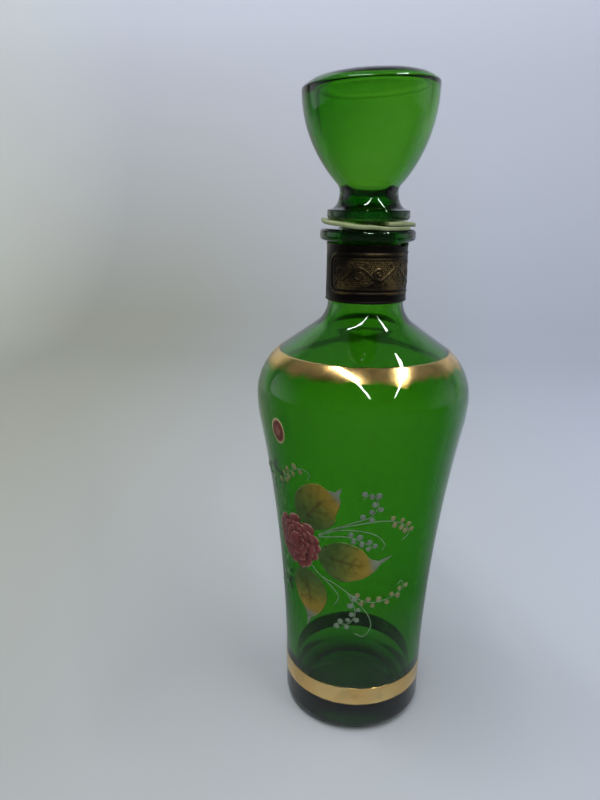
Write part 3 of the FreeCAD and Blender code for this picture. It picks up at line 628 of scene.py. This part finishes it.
def makeNeckBand():
    s = neckBand
    low, high = nodeSpan("neck_band")
    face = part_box("neck_band")[1].y / mm - s["inset"]
    back = face - s["thickness"] + s["inset"]
    shine = s["shine"]
    middle = (low + high) / 2
    first, last = s["frameTurns"]
    length = math.radians(last - first) * face
    centreTurn = (first + last) / 2
    vines, widths = scrollTree(length - s["scrollMargin"])
    halfHeight = (high - low) / 2 - s["frameMargin"]

    def relief(turn, height):
        up = height - middle
        across = math.radians((turn - centreTurn + 180) % 360 - 180) * face
        edge = min(height - low, high - height)
        bead = s["beadRise"] * max(1 - ((edge - s["edgeBead"]) / s["edgeBead"])**2, 0)
        # distance inside the rounded frame
        corner = s["frameRound"]
        dx = max(abs(across) - (length / 2 - corner), 0)
        dz = max(abs(up) - (halfHeight - corner), 0)
        inside = corner - math.hypot(dx, dz)
        if dx == 0 or dz == 0:
            inside = min(length / 2 - abs(across), halfHeight - abs(up))
        line = s["frameRise"] * max(1 - (inside / s["frameWidth"])**2, 0)
        second = 0.5 * s["frameRise"] * max(1 - ((inside - s["innerLine"]) / s["innerWidth"])**2, 0)
        best = max(bead, line, second)
        tone = max(bead * shine["bead"], line * shine["frame"], second * shine["inner"]) / s["frameRise"]
        if inside > s["groundMargin"]:
            spot, index, gap = vines.find((across, up, 0))
            vine = max(1 - (gap / widths[index])**2, 0)**0.6
            best = max(best, s["scrollRise"] * vine)
            step, stray = s["stippleStep"], s["stippleStray"]
            row = round(up / step)
            column = round(across / step - 0.5 * (row % 2))
            jitter = noise.cell_vector(Vector((column + 0.5, row + 0.5, 3.5))) - Vector((0.5, 0.5, 0.5))
            dot = Vector((across - (column + 0.5 * (row % 2) + stray * jitter.x) * step,
                          up - (row + stray * jitter.y) * step, 0)).length
            bump = max(1 - (dot / s["stippleSize"])**2, 0)
            best = max(best, s["stippleRise"] * bump)
            ground = shine["ground"] + (1 - shine["ground"]) * bump
            tone = max(tone, shine["vine"] * vine if vine > 0 else ground)
        wide, tall = s["dentGrain"]
        dent = s["dent"] * noise.noise(Vector((across / wide, up / tall, 2)))
        dent += s["scuff"] * noise.noise(Vector((across, up, 7)))
        return best, dent, tone

    rows = [(back, low)]
    rows += [(face, low + (high - low) * i / s["rows"]) for i in range(s["rows"] + 1)]
    rows += [(back, high)]

    def pressed(step, spot):
        turn = turnOf(spot)
        notch = max(1 - abs(turn - s["notchTurn"]) / s["notchWidth"], 0)
        spot = spot.copy()
        if 0 < step < len(rows) - 1:
            best, dent, tone = relief(turn, spot.z)
            spot.xy *= 1 + (best * s["pressing"] + dent - s["setBack"]) / face
        share = (spot.z - low) / (high - low)
        spot.z -= s["notchDepth"] * notch * smooth(share, s["notchFrom"], 1)
        return spot

    piece = turned("neck_band_relief", rows, s["segments"], pressed, closed=True)
    measure(piece, "relief", lambda spot: relief(turnOf(spot), spot.z)[2])
    material, surface = principled("antique_metal")
    raised = attribute(surface, "relief", "Fac")
    patchy = ranged(objectNoise(surface, s["patchScale"], 5), s["patchLeast"], 1, *s["patchRange"])
    fill(surface, {
        "Metallic": s["metallic"],
        "Base Color": blended(combined("MULTIPLY", raised, patchy), s["dark"], s["bright"]),
        "Roughness": ranged(patchy, *s["roughness"][::-1], 0, 1),
    })
    bumped(objectNoise(surface, s["grainScale"], 3), surface, 0.5, s["grainDepth"])
    return dress(piece, material, "neck_band", "bottle")


bandPiece = makeNeckBand()
print("neck band: %d faces" % len(bandPiece.data.polygons))

# the split seal ring, a strip that has sprung out of true

sealRing = {
    "inner": 11.8, "outer": 20.55, "thickness": 1.55, "edgeSwell": 0.02, "bevel": 0.25,
    "steps": 300, "columns": 10,
    # turn and height of the strip's middle, from its upper end round to its lower end
    "run": [(-335, 240.85), (-300, 240.8), (-270, 240.0), (-180, 240.9), (-90, 241.05), (-40, 241.1),
            (0, 239.7), (25, 239.02), (60, 239.02)],
    "sprungTurn": -92, "sprungWidth": 30, "sprungRise": 0.9, "sprungRim": (18.3, 20.6),
    "droopTurn": -30, "droopWidth": 48, "droop": 0.75,
    "colour": (0.185, 0.225, 0.105), "mottle": (0.27, 0.31, 0.165), "roughness": (0.38, 0.6),
    "softness": 0.25, "scatter": (0.0012, 0.0014, 0.0006),
    "mottleScale": 120, "grainScale": 700, "grainDepth": 0.00004,
}


def makeSealRing():
    s = sealRing
    turns = [turn for turn, height in s["run"]]
    half = s["thickness"] / 2
    shares = [i / s["columns"] for i in range(s["columns"] + 1)]
    section = [(share, half) for share in shares] + [(1 + s["edgeSwell"], 0)]
    section += [(share, -half) for share in shares[::-1]] + [(-s["edgeSwell"], 0)]
    points, faces = [], []
    for i in range(s["steps"] + 1):
        turn = turns[0] + (turns[-1] - turns[0]) * i / s["steps"]
        k = min(max(bisect.bisect_right(turns, turn), 1), len(turns) - 1)
        (before, low), (after, high) = s["run"][k - 1], s["run"][k]
        height = low + (high - low) * smooth(turn, before, after)
        sprung = s["sprungRise"] * (1 - smooth(abs(turn - s["sprungTurn"]), 0, s["sprungWidth"]))
        droop = s["droop"] * (1 - smooth(abs(turn - s["droopTurn"]), 0, s["droopWidth"]))
        angle = math.radians(turn)
        for share, up in section:
            radius = s["inner"] + (s["outer"] - s["inner"]) * share
            rise = up + sprung * smooth(radius, *s["sprungRim"]) - droop * share
            points.append((radius * math.sin(angle), -radius * math.cos(angle), height + rise))
    count = len(section)
    rows = [range(i * count, (i + 1) * count) for i in range(s["steps"] + 1)]
    for low, high in zip(rows, rows[1:]):
        for j in range(count):
            addFace(faces, low, high, j, (j + 1) % count)
    faces += [list(rows[0]), list(rows[-1])]
    piece = meshObject("seal_ring_strip", points, faces)
    soft = piece.modifiers.new("edges", "BEVEL")
    soft.width = s["bevel"] * mm
    soft.segments = 2
    soft.limit_method = "ANGLE"
    dress(piece, plastic("ring_plastic", s), "seal_ring", "sleeve")


makeSealRing()
print("seal ring sprung")

# the plastic sleeve stays as the frame has it, with its own finish

sleeveFinish = {
    "colour": (0.11, 0.12, 0.06), "mottle": (0.06, 0.07, 0.03), "roughness": (0.3, 0.5),
    "softness": 0.3, "scatter": (0.001, 0.001, 0.0008),
    "mottleScale": 90, "grainScale": 600, "grainDepth": 0.00003,
}
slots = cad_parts["stopper_sleeve"].data.materials
slots.clear()
slots.append(plastic("sleeve_plastic", sleeveFinish))
print("sleeve finished")

# fired enamel flowers on the front, each a thin pad with its own painted tones

enamel = {
    "lift": 0.03, "rise": 0.12, "roughness": (0.22, 0.42), "shade": (0.72, 1.12),
    "mottleScale": 260, "grainScale": 500, "grainDepth": 0.00004,
}


def newPrint():
    return {"points": [], "faces": [], "paint": []}


def addPad(ink, rows, tint, rise=1.0, lift=None):
    # rows of (turn, height), closed top and bottom, thickest in the middle; a pinched row is one point
    base = enamel["lift"] if lift is None else lift
    across = len(rows[0]) - 1
    along = len(rows) - 1
    top, bottom = [], []
    for i, row in enumerate(rows):
        upper, lower = [], []
        pinched = math.dist(row[0], row[-1]) < 1e-6
        for j, (turn, height) in enumerate(row):
            if pinched and j:
                upper.append(upper[0])
                lower.append(lower[0])
                continue
            swell = math.sin(math.pi * i / along)**0.6 * math.sin(math.pi * j / across)**0.6
            rim = pinched or i in (0, along) or j in (0, across)
            upper.append(len(ink["points"]))
            ink["points"].append(onGlass(turn, height, base + (0 if rim else enamel["rise"] * rise * swell)))
            ink["paint"].append(tint(i / along, 2 * j / across - 1))
            if rim:
                lower.append(upper[-1])
                continue
            lower.append(len(ink["points"]))
            ink["points"].append(onGlass(turn, height, base))
            ink["paint"].append(ink["paint"][-1])
        top.append(upper)
        bottom.append(lower)
    for sheet, flip in ((top, False), (bottom, True)):
        for low, high in zip(sheet, sheet[1:]):
            for j in range(across):
                addFace(ink["faces"], low, high, j, j + 1, flip)


def beside(place, before, after, side):
    # mm to the right of a line that goes from before to after
    right = math.radians(after[0] - before[0]) * wallAt(place[1])[0]
    up = after[1] - before[1]
    along = math.hypot(right, up)
    return aside(place, side * up / along, -side * right / along)


def ribbonRows(line, width, across, pinched):
    # rows square to a line of (turn, height), half their width in mm by share of the way
    rows = []
    for i, place in enumerate(line):
        before, after = line[max(i - 1, 0)], line[min(i + 1, len(line) - 1)]
        half = width(i / (len(line) - 1))
        rows.append([beside(place, before, after, half * (2 * j / across - 1)) for j in range(across + 1)])
    for end in pinched:
        rows[end] = [line[end]] * (across + 1)
    return rows


def berryRows(place, radius, steps=8, stretch=1.0):
    rows = []
    for i in range(steps + 1):
        angle = math.pi * i / steps
        half = radius * math.sin(angle)
        rows.append([aside(place, half * (2 * j / steps - 1), stretch * radius * math.cos(angle))
                     for j in range(steps + 1)])
    rows[0] = [aside(place, 0, stretch * radius)] * (steps + 1)
    rows[-1] = [aside(place, 0, -stretch * radius)] * (steps + 1)
    return rows


# own spray of flowers in the old painted-glass manner: a full bloom, three leaves and berried sprigs
bloom = {
    "centre": (-43, 100), "reach": 13.6, "ground": 0.82, "heart": 2.6, "lean": 0.35,
    "petalSteps": 8, "petalWidth": 1.25, "wobble": {"turn": 0.4, "reach": 0.1, "width": 0.3, "pale": 0.4},
    "ringLift": 0.05, "petalLift": 0.004, "heartLift": 0.3,
    # petals in a ring, its share of the reach, their length
    "rings": [(17, 1.0, 4.6), (15, 0.79, 4.4), (12, 0.57, 4.2), (8, 0.35, 3.6)],
    "deep": (0.08, 0.010, 0.012), "middle": (0.20, 0.045, 0.04), "pale": (0.42, 0.25, 0.21),
    "paleFrom": (0.72, 0.95),        # share of a petal where its pale rim begins and is full
}
leaves = [    # midrib from the stalk to the tip, half width in mm
    ([(-36, 110), (-30, 117), (-22, 124), (-14, 128), (-9, 133)], 11.0),
    ([(-25, 98), (-14, 96), (-2, 94.5), (10, 94), (24, 98.5)], 10.4),
    ([(-38, 87), (-36, 80), (-34, 72), (-34, 64), (-38, 55)], 9.8),
]
leafTones = {"stalk": (0.048, 0.105, 0.016), "middle": (0.14, 0.155, 0.014), "turn": (0.25, 0.18, 0.014),
             "tip": (0.17, 0.21, 0.15), "vein": (0.055, 0.022, 0.007)}
leafSizes = {"along": 28, "across": 44, "blade": 0.86, "tailFrom": 0.8, "tail": 0.14,
             "veins": 7.5, "slant": 1.5,
             "bands": [("middle", 0.15, 0.55), ("turn", 0.4, 0.66), ("tip", 0.7, 0.82)]}
sprigs = [    # places along the stem; its berries' tone, first and last share of the way, and count
    ([(-25, 107), (-14, 112), (-1, 116.5), (8, 119.5), (12, 125), (8, 131), (3, 128)],
     ("white", 0.42, 0.92, 8)),
    ([(-25, 107), (-10, 113), (11, 117), (24, 116), (32, 112.5), (34, 108.5), (30, 106)],
     ("yellow", 0.46, 0.76, 7)),
    ([(-25, 106.5), (-11, 111.5), (3, 112), (13, 109.5), (18, 105), (16.5, 102)], None),
    ([(-25, 106), (-8, 108.6), (3, 107), (11, 103)],
     ("white", 0.45, 1, 7)),
    ([(-33, 91), (-24, 85.5), (-14, 83), (-5, 79), (3, 73.5), (10, 67.5), (13, 61),
      (8, 55.5), (1, 57)], None),
    ([(-5, 79), (-1, 73.5), (1, 67), (-4, 62), (-13, 61.5)],
     ("white", 0.2, 1, 9)),
    ([(-24, 85.5), (-16, 81), (-11, 76), (-14.5, 71.5)], None),
    ([(-5, 79), (6, 75), (16, 74), (28, 76), (36, 79.5), (34, 83.5), (31, 82)],
     ("yellow", 0.1, 0.7, 10)),
    ([(-52, 115), (-54, 122), (-48, 131), (-43, 135), (-34, 138.5), (-28, 137), (-30, 133.5)],
     ("yellow", 0.28, 0.66, 8)),
    ([(-55, 113), (-59, 120), (-63, 127), (-68, 131), (-73, 129)],
     ("white", 0.4, 1, 6)),
    ([(-57, 88), (-61, 80), (-64, 72), (-70, 67), (-75, 70)],
     ("white", 0.3, 0.9, 7)),
]
sprigTones = {"stem": (0.13, 0.22, 0.12), "white": (0.11, 0.17, 0.125), "yellow": (0.20, 0.17, 0.03),
              # painted highlight: shine is the pale centre painted on each berry
              "shine": (0.24, 0.28, 0.20)}
sprigSizes = {"stemHalf": 0.34, "berry": 1.35, "berryAside": 1.55, "steps": 12, "taper": 0.35, "across": 4,
              "stemLift": 0.02, "berryLift": 0.04, "growth": 0.22}


def paintBloom(ink):
    s = bloom
    steps, vary = s["petalSteps"], s["wobble"]
    ground = berryRows(s["centre"], s["reach"] * s["ground"], 16)
    addPad(ink, ground, lambda t, u: s["deep"], 0.4)
    for order, (count, reach, size) in enumerate(s["rings"]):
        for k in range(count):
            wobble = noise.noise(Vector((order * 7.3, k * 3.1, 1)))
            angle = 2 * math.pi * (k + 0.5 * (order % 2)) / count + vary["turn"] * wobble
            out = s["reach"] * reach * (1 + vary["reach"] * wobble)
            line = []
            for i in range(steps + 1):
                share = i / steps
                bend = angle + s["lean"] * (share - 0.5) * size / out
                far = out - size * (1 - share)
                line.append(aside(s["centre"], far * math.cos(bend), far * math.sin(bend)))
            half = math.pi * out / count * (s["petalWidth"] + vary["width"] * wobble)

            def width(t):
                return half * math.sin(math.pi * min(0.12 + 0.88 * t, 1))**0.7 + 1e-9

            def tint(t, u):
                shade = mixed(s["deep"], s["middle"], smooth(t, 0, 0.65))
                return mixed(shade, s["pale"], smooth(t, *s["paleFrom"]) * (0.75 + vary["pale"] * wobble))

            rows = ribbonRows(line, width, steps, (-1,))
            lift = enamel["lift"] + s["ringLift"] * (order + 1) + s["petalLift"] * (k % 3)
            addPad(ink, rows, tint, 1.0, lift)
    heart = berryRows(s["centre"], s["heart"])
    addPad(ink, heart, lambda t, u: mixed(s["middle"], s["deep"], abs(u)), 1.2, s["heartLift"])


def paintLeaf(ink, rib, half):
    s, tones = leafSizes, leafTones
    line = throughPoints(rib, s["along"])

    def width(t):
        # a full blade that draws in to a thin tail
        blade = math.sin(math.pi * min(t / s["blade"], 1)**0.85)**0.8
        tail = s["tail"] * (1 - t) / (1 - s["tailFrom"]) if t >= s["tailFrom"] else 0
        return half * max(blade, tail)

    def tint(t, u):
        tone = tones["stalk"]
        for band, start, end in s["bands"]:
            tone = mixed(tone, tones[band], smooth(t, start, end))
        tone = mixed(tone, tones["stalk"], 0.5 * smooth(abs(u), 0.75, 1) * (1 - smooth(t, 0.4, 0.7)))
        branch = (t * s["veins"] - abs(u) * s["slant"]) % 1
        midrib = 1 - smooth(abs(u), 0.02, 0.09)
        side = 0.6 * (1 - smooth(abs(branch - 0.5), 0.04, 0.2)) * (1 - smooth(abs(u), 0.45, 0.75))
        reach = (1 - smooth(t, 0.5, 0.72)) * smooth(t, 0.05, 0.2)
        return mixed(tone, tones["vein"], max(midrib, side) * reach * 0.6)

    addPad(ink, ribbonRows(line, width, s["across"], (0, -1)), tint, 0.8)


def paintSprig(ink, stem, berries):
    s = sprigSizes
    line = throughPoints(stem, s["steps"])
    tone = sprigTones["stem"]
    rows = ribbonRows(line, lambda t: s["stemHalf"] * (1 - s["taper"] * t), s["across"], (0, -1))
    addPad(ink, rows, lambda t, u: tone, 0.7, enamel["lift"] + s["stemLift"])
    if not berries:
        return
    kind, start, end, count = berries
    body = sprigTones[kind]
    for k in range(count):
        share = start + (end - start) * k / (count - 1)
        i = min(int(share * (len(line) - 1)), len(line) - 2)
        side = s["berryAside"] * (1 if k % 2 else -1)
        grow = 1 + s["growth"] * noise.noise(Vector((k * 2.7, share * 9, len(line))))
        spot = beside(line[i], line[i], line[i + 1], side)

        # painted highlight and shade: each berry is paler at its centre and darker at its rim
        def tint(t, u):
            rim = smooth(math.hypot(2 * t - 1, u * math.sin(math.pi * t)), 0.45, 1)
            return mixed(mixed(body, sprigTones["shine"], 0.35 * (1 - rim)), tone, 0.5 * rim)

        addPad(ink, berryRows(spot, s["berry"] * grow), tint, 1.6, enamel["lift"] + s["berryLift"])


def enamelFinish(s):
    material, surface = principled("fired_enamel")
    grain = objectNoise(surface, s["mottleScale"], 4)
    shade = ranged(grain, *s["shade"])
    tone = addNode(surface, "CombineColor")
    fill(tone, {"Red": shade, "Green": shade, "Blue": shade})
    paint = attribute(surface, "paint", "Color")
    fill(surface, {
        "Base Color": blended(1, paint, tone.outputs["Color"], "MULTIPLY"),
        "Roughness": ranged(grain, *s["roughness"]),
    })
    bumped(objectNoise(surface, s["grainScale"], 3), surface, 0.4, s["grainDepth"])
    return material


def printObject(name, ink, material, node):
    piece = meshObject(name, ink["points"], ink["faces"])
    paint = piece.data.color_attributes.new("paint", "FLOAT_COLOR", "POINT")
    paint.data.foreach_set("color", [value for tone in ink["paint"] for value in (*tone, 1)])
    dress(piece, material, node, "bottle")


fired = enamelFinish(enamel)
flowerPrint, leafPrint, sprigPrint = newPrint(), newPrint(), newPrint()
paintBloom(flowerPrint)
for rib, half in leaves:
    paintLeaf(leafPrint, rib, half)
for stem, berries in sprigs:
    paintSprig(sprigPrint, stem, berries)
prints = {"enamel_bloom": flowerPrint, "enamel_leaves": leafPrint, "enamel_sprigs": sprigPrint}
for name, ink in prints.items():
    printObject(name, ink, fired, "floral_transfer")
print("enamel: %d points" % sum(len(ink["points"]) for ink in prints.values()))

# the small oval label, bare but for its pale edge and a plain rosette

ovalLabel = {
    "place": (-47.8, 153.7), "half": (4.5, 6.0), "steps": 24,
    "field": (0.15, 0.022, 0.016), "edge": (0.50, 0.40, 0.20), "motif": (0.30, 0.11, 0.07),
    "petals": 5, "rosette": 0.34, "petalReach": 0.1, "edgeFrom": (0.78, 0.86),
    "dust": (0.05, 0.04, 0.03), "dusty": 0.35, "grainScale": 400, "roughness": (0.25, 0.4),
}


def makeLabel():
    s = ovalLabel
    ink = newPrint()

    def tint(t, u):
        up = math.cos(math.pi * t)
        right = u * math.sin(math.pi * t)
        far = math.hypot(up, right)
        petals = s["rosette"] + s["petalReach"] * math.cos(s["petals"] * math.atan2(right, up))
        tone = mixed(s["motif"], s["field"], smooth(far, petals, petals + 0.08))
        return mixed(tone, s["edge"], smooth(far, *s["edgeFrom"]))

    wide, tall = s["half"]
    addPad(ink, berryRows(s["place"], wide, s["steps"], tall / wide), tint, 0.5)
    material, surface = principled("label_film")
    grain = objectNoise(surface, s["grainScale"], 3)
    paint = attribute(surface, "paint", "Color")
    fill(surface, {
        "Base Color": blended(ranged(grain, 0, s["dusty"]), paint, s["dust"]),
        "Roughness": ranged(grain, *s["roughness"]),
    })
    printObject("oval_label_film", ink, material, "oval_label")


makeLabel()
print("label laid")

# the floor and wall in one pale sweep

sweep = {
    "width": 5.0, "front": -3.0, "back": 0.75, "round": 0.5, "height": 1.9, "steps": 16,
    "roughness": 0.85, "sideReach": (-0.35, 0.25), "upReach": (0.03, 0.6),
    # painted light and shade: the sweep is darker and warmer at the left, bluer at the right, paler up the
    # wall and paler again far off to each side behind
    "left": (0.29, 0.305, 0.275), "right": (0.36, 0.40, 0.485), "upper": (0.62, 0.66, 0.78),
    "paintedLightRight": (0.85, 0.88, 0.95), "paintedLightLeft": (0.80, 0.86, 0.80),
    "farReach": (0.5, 1.3), "farBack": (0.2, 0.8),
    # painted shade: the dim tone that glossy rays see on the floor before the object, and where it reaches
    "paintedMirrorShade": (0.05, 0.055, 0.06), "mirrorRing": (0.044, 0.12), "mirrorBack": (0.0, 0.3),
    "mirrorLeft": (-1.8, -0.25), "mirrorThin": 0.15,      # the painted shade thins out towards the left
}


def makeSweep():
    s = sweep
    path = [(s["front"], 0)]
    for i in range(s["steps"] + 1):
        angle = math.radians(90 * i / s["steps"])
        path.append((s["back"] + s["round"] * math.sin(angle), s["round"] * (1 - math.cos(angle))))
    path.append((s["back"] + s["round"], s["height"]))
    points, faces = [], []
    for y, z in path:
        points += [(side * s["width"] / 2 / mm, y / mm, z / mm) for side in (-1, 1)]
    for i in range(len(path) - 1):
        faces.append((2 * i, 2 * i + 1, 2 * i + 3, 2 * i + 2))
    piece = meshObject("paper_sweep", points, faces)
    material, surface = principled("pale_paper")
    place = addNode(surface, "TexCoord").outputs["Object"]
    x, y, z = axes(place)
    # painted light and shade: darker at the left, lighter to the right and up the wall, and pale far off to
    # the sides
    low = blended(ranged(x, 0, 1, *s["sideReach"]), s["left"], s["right"])
    pale = blended(ranged(z, 0, 1, *s["upReach"]), low, s["upper"])
    behind = ranged(y, 0, 1, *s["farBack"])
    for tone, side in (("paintedLightRight", 1), ("paintedLightLeft", -1)):
        near, far = (side * reach for reach in s["farReach"])
        beyond = combined("MULTIPLY", ranged(x, 0, 1, near, far), behind)
        pale = blended(beyond, pale, s[tone])
    # painted shade: what shiny surfaces mirror of the floor before the object is painted dim, in place of a
    # dark flag
    rays = addNode(surface, "LightPath").outputs
    straight = combined("SUBTRACT", 1, rays["Is Transmission Ray"])
    distance = addNode(surface, "VectorMath")
    distance.operation = "LENGTH"
    plug(distance.inputs[0], place)
    away = ranged(distance.outputs["Value"], 0, 1, *s["mirrorRing"])
    before = ranged(y, 1, 0, *s["mirrorBack"])
    thinned = ranged(x, s["mirrorThin"], 1, *s["mirrorLeft"])
    mirrorShadeMask = rays["Is Glossy Ray"]
    for share in (straight, away, before, thinned):
        mirrorShadeMask = combined("MULTIPLY", mirrorShadeMask, share)
    fill(surface, {"Base Color": blended(mirrorShadeMask, pale, s["paintedMirrorShade"]), "Roughness": s["roughness"]})
    piece.data.materials.append(material)


makeSweep()
print("sweep laid")

# two tube lamps overhead, and a sky that is bright low at the sides and dim above and behind the camera

lamps = {
    "height": 1.5, "width": 0.07, "power": 27, "colour": (1, 0.99, 0.97),
    "left": ((-0.45, 0.1), (0.44, -2.5)),
    "right": ((0.58, 0.35), (1.6, -2.2)),
    "backdrop": ((-0.5, 0.3, 1.4), (0.05, 1.25, 0.75), 1.6, 13),     # place, aim, width, power
    "sky": (0.90, 0.94, 1.0),
    "skySides": (0.80, 0.62),        # strength low at the left and the right
    "dimBehind": 0.10, "behindReach": (-0.4, 0.25),
    "dimAbove": 0.22, "aboveReach": (0.1, 0.45),
    "sideReach": (-0.9, 0.9), "plainSky": 0.62,
}


def areaLamp(name, power, place, turn):
    light = bpy.data.lights.new(name, "AREA")
    light.energy = power
    light.color = lamps["colour"]
    lamp = bpy.data.objects.new(name, light)
    lamp.location = place
    lamp.rotation_euler = turn
    lamp.visible_transmission = False
    scene.collection.objects.link(lamp)
    return lamp


def makeLamps():
    s = lamps
    for side in ("left", "right"):
        (x0, y0), (x1, y1) = s[side]
        middle = ((x0 + x1) / 2, (y0 + y1) / 2, s["height"])
        tube = areaLamp("tube_" + side, s["power"], middle, (0, 0, math.atan2(y1 - y0, x1 - x0)))
        tube.data.shape = "RECTANGLE"
        tube.data.size = math.dist(*s[side])
        tube.data.size_y = s["width"]
    place, aim, width, power = s["backdrop"]
    turn = (Vector(aim) - Vector(place)).to_track_quat("-Z", "Y").to_euler()
    wash = areaLamp("backdrop_lamp", power, place, turn)
    wash.data.size = width
    wash.visible_glossy = False


def makeSky():
    s = lamps
    world = bpy.data.worlds.new("soft_sky")
    scene.world = world
    world.use_nodes = True
    back = world.node_tree.nodes["Background"]
    x, y, z = axes(addNode(back, "TexCoord").outputs["Generated"])
    depth = ranged(y, s["dimBehind"], 1, *s["behindReach"])
    above = ranged(z, 1, s["dimAbove"], *s["aboveReach"])
    sides = ranged(x, *s["skySides"], *s["sideReach"])
    lit = combined("MULTIPLY", combined("MULTIPLY", depth, above), sides)
    # seen straight or through glass, the sky is one plain pale tone
    rays = addNode(back, "LightPath").outputs
    seen = combined("MAXIMUM", rays["Is Camera Ray"], rays["Is Transmission Ray"])
    plain = combined("MULTIPLY", seen, s["plainSky"])
    unseen = combined("SUBTRACT", 1, seen)
    strength = combined("ADD", combined("MULTIPLY", lit, unseen), plain)
    fill(back, {"Color": (*s["sky"], 1), "Strength": strength})


makeLamps()
makeSky()
print("lamps and sky set")

# the photograph's viewpoint

viewpoint = {
    "distance": 317.7, "height": 253.6, "yaw": 5.243, "pitch": 16.623, "roll": 0.645,
    "focalPixels": 700, "framePixels": 800, "sensor": 36,
}


def makeCamera():
    s = viewpoint
    yaw, pitch, roll = (math.radians(s[k]) for k in ("yaw", "pitch", "roll"))
    forward = Vector((-math.sin(yaw) * math.cos(pitch), math.cos(yaw) * math.cos(pitch), -math.sin(pitch)))
    level = forward.cross(Vector((0, 0, 1))).normalized()
    upright = level.cross(forward)
    right = math.cos(roll) * level + math.sin(roll) * upright
    up = math.cos(roll) * upright - math.sin(roll) * level
    data = bpy.data.cameras.new("photo_camera")
    data.sensor_width = s["sensor"]
    data.lens = s["focalPixels"] / s["framePixels"] * s["sensor"]
    data.clip_start = 0.01
    camera = bpy.data.objects.new("photo_camera", data)
    turn = Matrix((right, up, -forward)).transposed().to_4x4()
    camera.matrix_world = Matrix.Translation((0, -s["distance"] * mm, s["height"] * mm)) @ turn
    scene.collection.objects.link(camera)
    scene.camera = camera


makeCamera()
